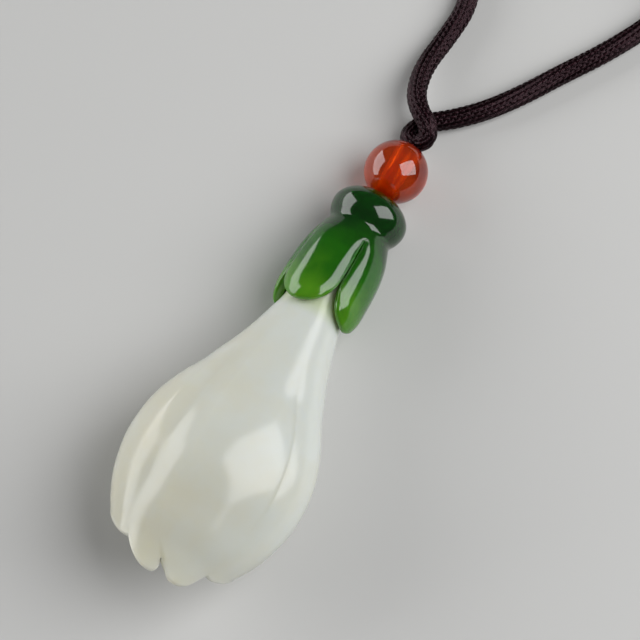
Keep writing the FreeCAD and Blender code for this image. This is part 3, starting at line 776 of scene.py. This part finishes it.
@dataclass
class Petal:
    """One outer petal of the bud.

    Attributes:
        crease: turns of its left crease at the bud's crease levels, in degrees.
        notch: level of the notch at its left crease.
        end: level of its furthest point.
        place: share of the way across the petal at which that point lies.
        left_drop, right_drop: how far its edges lie below the oval section.
        left_reach, right_reach: share of the petal over which they come down.
        left_bend, right_bend: how late, from 2 on, its edges turn level again at the crease.
        left_power, right_power: powers of the curves from its furthest point to its notches.
        groove: strength of its left crease, from 0 to 1.
    """

    crease: tuple[float, ...]
    notch: float
    end: float
    place: float
    left_drop: float = 0.35
    left_reach: float = 0.4
    right_drop: float = 0.35
    right_reach: float = 0.4
    left_bend: float = 12.0
    right_bend: float = 12.0
    left_power: float = 2.5
    right_power: float = 2.5
    groove: float = 1.0


@dataclass
class MagnoliaBud:
    """White bud: six overlapping petals, a round neck and a nose that the thread carries.

    Attributes:
        root: level at which the neck widens from the nose.
        levels: where the sizes of the oval section are given.
        crease_levels: where the petals' creases are given.
        drop_start: where the petals' edges start to drop below the section.
        even_start, even_share: where they start to drop less, and by how much.
        groove_stop, notch_start: where a crease's fine groove fades, and grows again.
        fall_power: power by which an edge drops with the nearness to its crease.
        uv_length: length along the axis that one turn of the UV map covers.
    """

    root: float = 11.95
    levels: tuple[float, ...] = (11.95, 15.5, 19.05, 20.7, 22.9, 25.1, 27.3, 29.6, 31.7, 33.9, 36.1,
                                 38.3, 40.4, 42.5, 44.7, 46.8, 48.0, 49.2, 50.4, 51.6, 52.6)
    half_widths: tuple[float, ...] = (3.0, 3.3, 3.6, 4.05, 4.68, 5.45, 6.4, 7.4, 8.5, 9.4, 9.97, 10.2,
                                      10.18, 9.83, 9.2, 8.22, 7.5, 6.7, 5.95, 5.3, 4.85)
    front_depths: tuple[float, ...] = (3.0, 3.3, 3.6, 3.9, 4.3, 4.78, 5.3, 5.86, 6.57, 7.29, 7.68,
                                       7.73, 7.62, 7.21, 6.58, 5.91, 5.4, 4.84, 4.33, 3.87, 3.6)
    back_depths: tuple[float, ...] = (3.0, 3.3, 3.6, 3.9, 4.3, 4.8, 5.35, 5.98, 6.58, 7.08, 7.36, 7.4,
                                      7.24, 6.88, 6.35, 5.65, 5.15, 4.62, 4.12, 3.7, 3.45)
    crease_levels: tuple[float, ...] = (19.0, 25.0, 31.0, 36.0, 41.0, 46.0, 49.0, 51.5)
    drop_start: float = 22.05
    drop_length: float = 14.5
    even_start: float = 43.0
    even_length: float = 6.0
    even_share: float = 0.6
    groove_depth: float = 0.06
    groove_half_width: float = 0.3
    groove_length: float = 15.0
    groove_stop: float = 39.0
    groove_stop_length: float = 6.0
    notch_start: float = 49.0
    notch_length: float = 2.5
    petal_thickness: float = 0.85
    recess_depth: float = 2.6
    inner_top: float = 49.4
    inner_half_width: float = 3.6
    inner_half_depth: float = 2.6
    inner_wave: float = 0.10
    nose_radius: float = 1.25
    nose_level: float = 10.9
    nose_first_turn: float = 0.06
    side_start: float = 0.3
    side_end: float = 0.15
    shoulder_radius: float = 2.75
    shoulder_rise: float = 0.1
    fall_power: float = 1.3
    rim_rise: float = 0.8
    inner_waves: int = 3
    inner_wave_turn: float = 0.5
    inner_reach: float = 0.999
    inner_power: float = 0.9
    columns_per_petal: int = 66
    column_evenness: float = 0.4
    rows: int = 150
    row_power: float = 0.94
    rim_rows: int = 7
    hollow_rows: int = 14
    inner_rows: int = 25
    uv_length: float = 40.0
    petals: tuple[Petal, ...] = (
        Petal((-100, -104, -110, -114, -117, -116, -113, -112), 46.0, 49.95, 0.93,
              right_drop=0.34, right_reach=0.18, right_bend=6.0, left_power=1.75),
        Petal((-52, -43, -35, -31, -31.5, -34.5, -41.5, -44), 49.9, 52.1, 0.8,
              left_drop=0.34, left_reach=1.0, left_bend=6.0, right_drop=0.0, left_power=2.6,
              right_power=2.3, groove=0.0),
        Petal((-24, -24, -19, -15, -12.5, -13, -8, 8), 50.7, 52.0, 0.38,
              left_drop=0.0, right_drop=0.5, right_reach=1.0, left_power=2.3, right_power=2.65,
              groove=0.0),
        Petal((17.5, 25.5, 37, 45, 48, 48.5, 54, 64), 49.5, 49.6, 0.13,
              left_drop=0.5, left_reach=0.5, right_power=1.7, groove=0.3),
        Petal((74, 84, 95, 104, 112, 117, 118, 118), 46.8, 48.0, 0.5),
        Petal((170, 172, 174, 176, 178, 177, 175, 174), 47.2, 48.2, 0.5),
    )

    @cached_property
    def owner(self) -> np.ndarray:
        """Petal of each column, as its number."""
        return np.repeat(np.arange(len(self.petals)), self.columns_per_petal)

    @cached_property
    def share(self) -> np.ndarray:
        """Share of the way across its petal of each column, closer together near the creases."""
        way = np.linspace(0, math.pi, self.columns_per_petal + 1)[:-1]
        even = self.column_evenness
        return np.tile((1 - np.cos(way)) / 2 * (1 - even) + way / math.pi * even, len(self.petals))

    def own(self, size: str, after: int = 0) -> np.ndarray:
        """A size of each column's petal, or of a petal some places after it."""
        sizes = np.array([getattr(petal, size) for petal in self.petals])
        return sizes[(self.owner + after) % len(sizes)]

    def build(self, axis: PendantAxis, material: bpy.types.Material) -> bpy.types.Object:
        """Make the bud.

        A column follows one petal from neck to tip, so its turn changes with the level as the
        petal's two creases do. Past its end a column runs over the petal's rim into the hollow
        between the petals, and up over the closed inner petals.

        Args:
            axis: the pendant's axis.
            material: the bud's material.

        Returns:
            The bud.
        """
        end_level = self.end_levels()
        down = np.linspace(0, 1, self.rows)[:, None] ** self.row_power
        level = self.root + (end_level - self.root) * down
        outside = self.surface(level, 0.0)

        half_rim = self.petal_thickness / 2
        over = np.linspace(0, math.pi, self.rim_rows + 2)[1:-1, None]
        rim_level = end_level + half_rim * np.sin(over) * self.rim_rise
        rim = self.surface(end_level + 0 * rim_level, half_rim * (1 - np.cos(over)), rim_level)
        inside_level = end_level - self.recess_depth * np.linspace(0, 1, self.hollow_rows)[:, None]
        inside = self.surface(inside_level, self.petal_thickness)

        floor = end_level - self.recess_depth
        inner = self.inner_petals(floor, self.turns(floor))
        nose_turn = self.turns(self.root + 0 * end_level)
        nose_radii, nose_levels = self.nose_profile()
        nose = axis.turned(nose_radii + 0 * nose_turn, nose_turn + 0 * nose_radii,
                           nose_levels + 0 * nose_turn)

        shell = [axis.place(*outside), axis.place(*rim), axis.place(*inside)]
        points = np.concatenate([nose, *shell, axis.place(*inner)])
        mark = np.zeros(points.shape[:2])
        mark[len(nose):len(nose) + self.rows] = self.crease_mark(level)
        along = np.concatenate([nose_levels + 0 * nose_turn, level, rim_level, inside_level, inner[2]])
        made = grid_object("jade_bud", points, Ends.POLES, (along - self.root) / self.uv_length,
                           {"crease": mark})
        return settle(made, Body.DROP, Slot.WHITE_JADE, material, "flower_bud")

    def end_levels(self) -> np.ndarray:
        """Level at which each column ends.

        The end of a petal falls from its furthest point to its notches by a power of the share of
        the way there.
        """
        end, place = self.own("end"), self.own("place")
        before = self.share < place
        way = np.where(before, (place - self.share) / place, (self.share - place) / (1 - place))
        off = way ** np.where(before, self.own("left_power"), self.own("right_power"))
        return end - (end - np.where(before, self.own("notch"), self.own("notch", 1))) * off

    def inner_petals(self, floor: np.ndarray, turn: np.ndarray) -> tuple[np.ndarray, ...]:
        """Closed inner petals: a dome over the hollow's floor with shallow waves round it.

        Args:
            floor: level of the hollow's floor at each column.
            turn: turn of each column there, in radians.

        Returns:
            Millimetres right, front and along the axis.
        """
        rise = np.linspace(0, 1, self.inner_rows + 1)[1:, None]
        waves = np.cos(self.inner_waves * (turn + self.inner_wave_turn)) * np.sin(rise * math.pi)
        radius = np.sqrt(1 - rise ** 2) * self.inner_reach * (1 + self.inner_wave * waves)
        level = floor + (self.inner_top - floor) * np.sin(rise * math.pi / 2) ** self.inner_power
        return (self.inner_half_width * radius * np.sin(turn),
                self.inner_half_depth * radius * np.cos(turn), level)

    def nose_profile(self) -> tuple[np.ndarray, np.ndarray]:
        """Radii and levels of the nose: half a ball, a straight side and the shoulder of the neck."""
        ball = np.linspace(self.nose_first_turn, math.pi / 2, 8)[:, None]
        side = np.linspace(self.nose_level + self.side_start, self.root - self.side_end, 3)[:, None]
        shoulder = np.linspace(0, 1, 10)[2:-1, None]
        widening = self.nose_radius + (self.shoulder_radius - self.nose_radius) * shoulder
        radii = [self.nose_radius * np.sin(ball), self.nose_radius + 0 * side, widening]
        levels = [self.nose_level - self.nose_radius * np.cos(ball), side,
                  self.root - self.shoulder_rise + 0 * shoulder]
        return np.concatenate(radii), np.concatenate(levels)

    def fall(self, near: np.ndarray, bend: np.ndarray) -> np.ndarray:
        """Share of a petal's drop at a nearness to its crease, level again at the crease itself."""
        x = np.clip(near, 0.0, 1.0)
        power = self.fall_power
        return (x ** power - power / bend * x ** bend) / (1.0 - power / bend)

    def creases(self, level: np.ndarray) -> tuple[np.ndarray, np.ndarray]:
        """Turns of each point's left and right crease in degrees, the right one the greater."""
        turns = np.stack([smooth_curve(level, self.crease_levels, petal.crease)
                          for petal in self.petals], axis=-1)
        column = np.arange(level.shape[-1])
        left = turns[..., column, self.owner]
        right = turns[..., column, (self.owner + 1) % len(self.petals)]
        return left, np.where(right < left, right + 360.0, right)

    def turns(self, level: np.ndarray) -> np.ndarray:
        """Turn of each point in radians, from its level and its share across its petal."""
        left, right = self.creases(level)
        return np.radians(left + (right - left) * self.share)

    def crease_mark(self, level: np.ndarray) -> np.ndarray:
        """How deep in a crease's groove each point lies.

        The mark follows a bell curve of the distance to the crease. Its strength grows from the
        neck, fades below the middle of the bud and grows again towards the notches.

        Args:
            level: level of each point.

        Returns:
            The mark, from 0 to 1.
        """
        left, right = self.creases(level)
        wide = smooth_curve(level, self.levels, self.half_widths)
        near = np.minimum(self.share, 1 - self.share) * np.radians(right - left) * wide
        strength = np.where(self.share < 0.5, self.own("groove"), self.own("groove", 1))
        strength = strength * (1 - ease((level - self.groove_stop) / self.groove_stop_length))
        strength = strength + (1 - strength) * ease((level - self.notch_start) / self.notch_length)
        grown = ease((level - self.drop_start) / self.groove_length)
        return np.exp(-(near / self.groove_half_width) ** 2) * grown * strength

    def surface(self, level: np.ndarray, inward: np.ndarray | float,
                shown_level: np.ndarray | None = None) -> tuple[np.ndarray, ...]:
        """Points of the petals, moved inward by some millimetres.

        The section is a half ellipse in front and one behind, of the same width and their own
        depths. From it each petal comes down to its left crease by drop * fall(1 - u / reach), for
        the share u across the petal, and likewise to its right one, and the groove by its depth
        times its mark.

        Args:
            level: level of each point, for the section's size and creases.
            inward: distance inside the outer surface.
            shown_level: level at which the points are put, where it isn't level.

        Returns:
            Millimetres right, front and along the axis.
        """
        turn = self.turns(level)
        wide = smooth_curve(level, self.levels, self.half_widths)
        deep = np.where(np.cos(turn) > 0, smooth_curve(level, self.levels, self.front_depths),
                        smooth_curve(level, self.levels, self.back_depths))
        grown = ease((level - self.drop_start) / self.drop_length)
        grown = grown * (1.0 - self.even_share * ease((level - self.even_start) / self.even_length))
        drops = sum(self.own(side + "_drop") * self.fall(1.0 - away / self.own(side + "_reach"),
                                                         self.own(side + "_bend"))
                    for side, away in (("left", self.share), ("right", 1.0 - self.share)))
        cut = drops * grown + self.groove_depth * self.crease_mark(level) + inward
        put = level if shown_level is None else shown_level
        return (wide - cut) * np.sin(turn), (deep - cut) * np.cos(turn), put + 0 * turn


@dataclass
class Braid:
    """Round braided cord: columns of slanted stitches, slanting the other way in every other one."""

    diameter: float = 2.3
    columns: int = 14
    points_per_column: int = 3
    stitch: float = 0.76
    slant: float = 0.5
    relief: float = 0.25
    twist: float = 3.2
    across_power: float = 2.2
    along_power: float = 3.0

    def sleeve(self, name: str, centres: np.ndarray, along: np.ndarray, whole: float,
               squeeze: float = 0.0) -> bpy.types.Object:
        """Carry the braided section along a line.

        The radius at turn u and length s is the cord's radius less relief * (1 - h). The height h
        is the product of a round crown across the column and a round crown along the stitch, whose
        place is s / stitch + half a stitch in every other column + slant * the place across.

        Args:
            name: name of the object.
            centres: metres, points of the middle line.
            along: millimetres along the whole cord at each centre, for the pattern's phase.
            whole: length of the whole cord in millimetres, which takes a whole number of stitches.
            squeeze: share by which the cord is narrower halfway along the line.

        Returns:
            The cord's mesh.
        """
        stitch = whole / round(whole / self.stitch)
        twist = 2 * math.pi * round(whole * math.radians(self.twist) / (2 * math.pi)) / whole
        tangent = unit(np.gradient(centres, axis=0))
        side = unit(np.cross(tangent, np.array([0.0, 0.0, 1.0])))
        around = self.columns * self.points_per_column
        share = np.arange(around) / around
        angle = 2 * math.pi * share[None, :] + twist * along[:, None]
        column = np.floor(share * self.columns + 1e-9)
        inside = share * self.columns - column - 0.5
        lean = np.where(column % 2 == 0, 1.0, -1.0)
        place = along[:, None] / stitch + 0.5 * (column % 2) + self.slant * lean * inside
        cell = np.abs(place - np.floor(place) - 0.5) * 2
        crown = (np.sqrt(np.maximum(1 - (2 * np.abs(inside)) ** self.across_power, 0))
                 * np.sqrt(np.maximum(1 - cell ** self.along_power, 0)))
        narrower = 1 - squeeze * np.sin(math.pi * (along - along[0]) / (along[-1] - along[0])) ** 2
        radius = (self.diameter / 2 - self.relief * (1 - crown)) * narrower[:, None] * MM
        points = rings(centres, side, np.cross(side, tangent), angle, radius)
        lengthways = np.repeat((along / stitch)[:, None], around, axis=1)
        return grid_object(name, points, Ends.POLES, lengthways, {"relief": crown})


@dataclass
class NeckCord:
    """The neck cord: two free stretches, the put-away coil between them, and the knot."""

    turn_pitch: float = 0.00285
    outer_radius: float = 0.0184
    radius: float = 0.00115
    points_per_turn: int = 16
    fine_step: float = 0.00012
    knot_share: float = 0.8
    coarse_step: float = 0.00038
    seen_length: float = 0.030
    knot_squeeze: float = 0.08

    def coil_points(self, hang: Vector) -> list[tuple[float, float, float]]:
        """Points of the coil from its outer top end, in through one layer and out through the other.

        After t turns from the bottom end the angle is pi * (1 - 2t) and the radius is the outer one
        less the pitch times the lesser of t and the turns left. The cord climbs a layer in the half
        turn in the middle.
        """
        turns = np.arange(0, COIL_TURNS + 1e-6, 1 / self.points_per_turn)[::-1]
        climb = ease((turns - COIL_TURNS / 2) * 2 + 0.5)
        angle = math.pi * (1 - 2 * turns)
        out = self.outer_radius - self.turn_pitch * np.minimum(turns, COIL_TURNS - turns)
        return [(hang.x + COIL_CENTRE[0] + r * math.cos(a), hang.y + COIL_CENTRE[1] + r * math.sin(a),
                 self.radius + self.turn_pitch * c) for r, a, c in zip(out, angle, climb)]

    def middle_line(self, hang: Vector) -> np.ndarray:
        """Closed line of the whole cord from the spline of its route, in metres.

        Args:
            hang: the hang point.

        Returns:
            Points from the coil's bottom end through the left stretch, the knot, the right
            stretch and the coil back to the same place.
        """
        route = [(hang.x + x, hang.y + y, z) for x, y, z in LEFT_ROUTE + KNOT_ROUTE + RIGHT_ROUTE]
        route += self.coil_points(hang) + [route[0]]
        curve = bpy.data.curves.new("route", "CURVE")
        curve.dimensions = "3D"
        curve.resolution_u = 10
        spline = curve.splines.new("NURBS")
        spline.points.add(len(route) - 1)
        spline.points.foreach_set("co", np.array([(*p, 1.0) for p in route]).ravel())
        spline.order_u = 3
        spline.use_endpoint_u = True
        holder = bpy.data.objects.new("route", curve)
        mesh = bpy.data.meshes.new_from_object(holder)
        line = np.array([v.co for v in mesh.vertices], float)
        bpy.data.objects.remove(holder)
        bpy.data.meshes.remove(mesh)
        bpy.data.curves.remove(curve)
        return line

    def build(self, braid: Braid, hang: Vector, material: bpy.types.Material) -> None:
        """Make the cord and the knot from one line, cut where the knot begins and ends.

        Args:
            braid: the cord's section.
            hang: the hang point.
            material: the cord's material.
        """
        line = self.middle_line(hang)
        along = lengths_along(line)
        whole = along[-1]
        ends = [self.nearest(line, along, hang, LEFT_ROUTE[-1], KNOT_ROUTE[0]),
                self.nearest(line, along, hang, KNOT_ROUTE[-1], RIGHT_ROUTE[0])]
        fine, coarse, seen = self.fine_step, self.coarse_step, self.seen_length
        tie = np.arange(ends[0] - fine / 2, ends[1] + fine, fine * self.knot_share)
        right = np.arange(ends[1], ends[1] + seen, fine)
        left = np.arange(ends[0] - seen, ends[0] + fine / 2, fine)
        away = np.arange(right[-1] + coarse, whole + left[0] - coarse / 2, coarse)
        cord = np.concatenate([right, away, left + whole])
        path = self.stations_on(line, along, cord)
        knot = braid.sleeve("neck_cord_knot", self.stations_on(line, along, tie), tie / MM,
                            whole / MM, self.knot_squeeze)
        settle(knot, Body.CORD, Slot.CORD, material, "knot")
        made = braid.sleeve("neck_cord", path, cord / MM, whole / MM)
        settle(made, Body.CORD, Slot.CORD, material, "neck_cord_left", "neck_cord_coil",
               "neck_cord_right")
        LOG.info("whole cord %.4f m", whole)

    def stations_on(self, line: np.ndarray, along: np.ndarray, stations: np.ndarray) -> np.ndarray:
        """Points of a closed line at lengths along it, which may run past its end."""
        wrapped = np.mod(stations, along[-1])
        return np.stack([np.interp(wrapped, along, line[:, k]) for k in range(3)], axis=1)

    def nearest(self, line: np.ndarray, along: np.ndarray, hang: Vector, before: tuple,
                after: tuple) -> float:
        """Length along the line at which it passes the middle of two route points."""
        middle = (np.array(before) + np.array(after)) / 2 + np.array([hang.x, hang.y, 0.0])
        return float(along[np.linalg.norm(line - middle, axis=1).argmin()])


@dataclass
class HangingThread:
    """Waxed thread of two legs that carries the bud."""

    diameter: float = 0.6
    leg: float = 0.38
    side: float = 1.75
    top: float = 3.66
    join_level: float = 7.95
    join_length: float = 0.4
    bend_level: float = 9.45
    bend_length: float = 0.2
    hole_level: float = 10.9
    ply_depth: float = 0.16
    ply_twist: float = 2.2
    columns: int = 20
    points_per_side: int = 40
    soft_reach: int = 8

    def build(self, axis: PendantAxis, material: bpy.types.Material) -> bpy.types.Object:
        """Make the thread: a two-ply section carried down one leg, through the nose and up the other.

        Args:
            axis: the pendant's axis.
            material: the thread's material.

        Returns:
            The thread.
        """
        one = [(self.leg, -self.top), (self.leg, self.join_level - self.join_length),
               (self.side, self.bend_level + self.bend_length), (self.side, self.hole_level)]
        corners = np.array(one + [(-x, level) for x, level in reversed(one)])
        sides = [np.linspace(a, b, self.points_per_side, endpoint=False)
                 for a, b in zip(corners, corners[1:])]
        reach = self.soft_reach
        padded = np.concatenate([corners[:1].repeat(reach, 0), *sides, corners[-1:],
                                 corners[-1:].repeat(reach, 0)])
        soft = np.ones(2 * reach + 1) / (2 * reach + 1)
        line = np.stack([np.convolve(padded[:, k], soft, "valid") for k in range(2)], axis=1)
        centres = axis.place(line[:, 0], 0 * line[:, 0], line[:, 1])
        tangent = unit(np.gradient(centres, axis=0))
        along = lengths_along(centres)[:, None] / MM
        angle = 2 * math.pi * (np.arange(self.columns) / self.columns)[None] + 0 * along
        ply = np.abs(np.cos(angle - along * self.ply_twist))
        radius = self.diameter / 2 * (1 - self.ply_depth + self.ply_depth * ply) * MM
        points = rings(centres, axis.front + 0 * tangent, np.cross(tangent, axis.front), angle, radius)
        made = grid_object("bud_thread", points, Ends.POLES, along + 0 * angle)
        return settle(made, Body.DROP, Slot.THREAD, material, "hanging_thread")


@dataclass(frozen=True)
class Softbox:
    """Rectangular lamp of even brightness that faces the bead.

    Attributes:
        azimuth: degrees from the camera's right towards away from it.
        height: degrees above the floor.
        distance, width, length: metres.
        roll: degrees about the line to the bead.
    """

    name: str
    azimuth: float
    height: float
    distance: float
    width: float
    length: float
    roll: float
    radiance: float


@dataclass
class Studio:
    """Camera at the photograph's viewing angle, soft lamps, a plain floor and a pale surround."""

    elevation: float = 75.0
    heading: float = 29.3
    distance: float = 0.290
    lens: float = 150.08
    bead_right: float = 0.00826
    bead_up: float = 0.01609
    surround: float = 0.08
    floor_half: float = 3.0
    lamps: tuple[Softbox, ...] = (
        Softbox("right softbox", azimuth=-1.6, height=46.7, distance=0.6, width=0.50, length=0.65,
                roll=20.8, radiance=3.9),
        Softbox("left softbox", azimuth=155.0, height=4.5, distance=1.2, width=1.56, length=1.36,
                roll=58.0, radiance=3.4))

    def ground_axes(self) -> tuple[Vector, Vector]:
        """Level directions to the right of the camera and away from it."""
        turn = math.radians(self.heading)
        return Vector((math.cos(turn), math.sin(turn), 0)), Vector((-math.sin(turn), math.cos(turn), 0))

    def add_camera(self, bead: Vector) -> None:
        """Put the camera so that the bead lies where the photograph has it.

        Args:
            bead: middle of the bead.
        """
        right, ahead = self.ground_axes()
        rise = math.radians(self.elevation)
        view = ahead * math.cos(rise) - Vector((0, 0, math.sin(rise)))
        up = right.cross(view)
        data = bpy.data.cameras.new("camera")
        data.lens = self.lens
        data.clip_start = 0.01
        data.clip_end = 10.0
        camera = add_object("camera", data)
        place = bead - view * self.distance - right * self.bead_right - up * self.bead_up
        turned = Matrix((right, up, -view)).transposed().to_4x4()
        camera.matrix_world = Matrix.Translation(place) @ turned
        bpy.context.scene.camera = camera

    def add_lamp(self, box: Softbox, bead: Vector) -> None:
        """Hang a softbox that faces the bead.

        Args:
            box: the lamp.
            bead: middle of the bead.
        """
        right, ahead = self.ground_axes()
        turn, rise = math.radians(box.azimuth), math.radians(box.height)
        level = right * math.cos(turn) + ahead * math.sin(turn)
        toward = level * math.cos(rise) + Vector((0, 0, math.sin(rise)))
        data = bpy.data.lights.new(box.name, "AREA")
        data.shape = "RECTANGLE"
        data.size = box.width
        data.size_y = box.length
        data.energy = box.radiance * math.pi * box.width * box.length
        lamp = add_object(box.name, data)
        lamp.location = bead + toward * box.distance
        lamp.rotation_mode = "QUATERNION"
        rolled = Quaternion((0, 0, 1), math.radians(box.roll))
        lamp.rotation_quaternion = toward.to_track_quat("Z", "Y") @ rolled

    def add_surround(self) -> None:
        """Light all round at a plain, even level."""
        world = bpy.data.worlds.new("surround")
        world.use_nodes = True
        background = world.node_tree.nodes["Background"]
        background.inputs["Color"].default_value = colour(1.0, 1.0, 1.0)
        background.inputs["Strength"].default_value = self.surround
        bpy.context.scene.world = world

    def build(self, bead: Vector) -> None:
        """Make the camera, lamps, surround and floor.

        Args:
            bead: middle of the bead.
        """
        self.add_camera(bead)
        for box in self.lamps:
            self.add_lamp(box, bead)
        self.add_surround()
        half = self.floor_half
        mesh = bpy.data.meshes.new("floor")
        mesh.from_pydata([(-half, -half, 0), (half, -half, 0), (half, half, 0), (-half, half, 0)], [],
                         [(0, 1, 2, 3)])
        floor = add_object("floor", mesh)
        floor.data.materials.append(PaleSurface().build())
        bpy.context.scene.view_settings.view_transform = "Standard"


def main() -> None:
    """Build every piece of the pendant and its studio."""
    logging.basicConfig(level=logging.INFO, format="%(name)s %(message)s")
    axis = PendantAxis.from_joint(joint_named("bead_spin"))
    hang = Vector(joint_named("drop_sway")["pos_m"])
    Studio().build(Vector(axis.centre))
    braid = Braid()
    NeckCord().build(braid, hang, BraidedCord().build(braid.columns, braid.slant))
    cap = LobedCap()
    RoundBead().build(axis, Carnelian().build())
    cap.build(axis, GreenJade().build())
    MagnoliaBud().build(axis, WhiteJade().build(axis, cap.mouth))
    HangingThread().build(axis, WaxedThread().build())


if __name__ == "__main__":
    main()
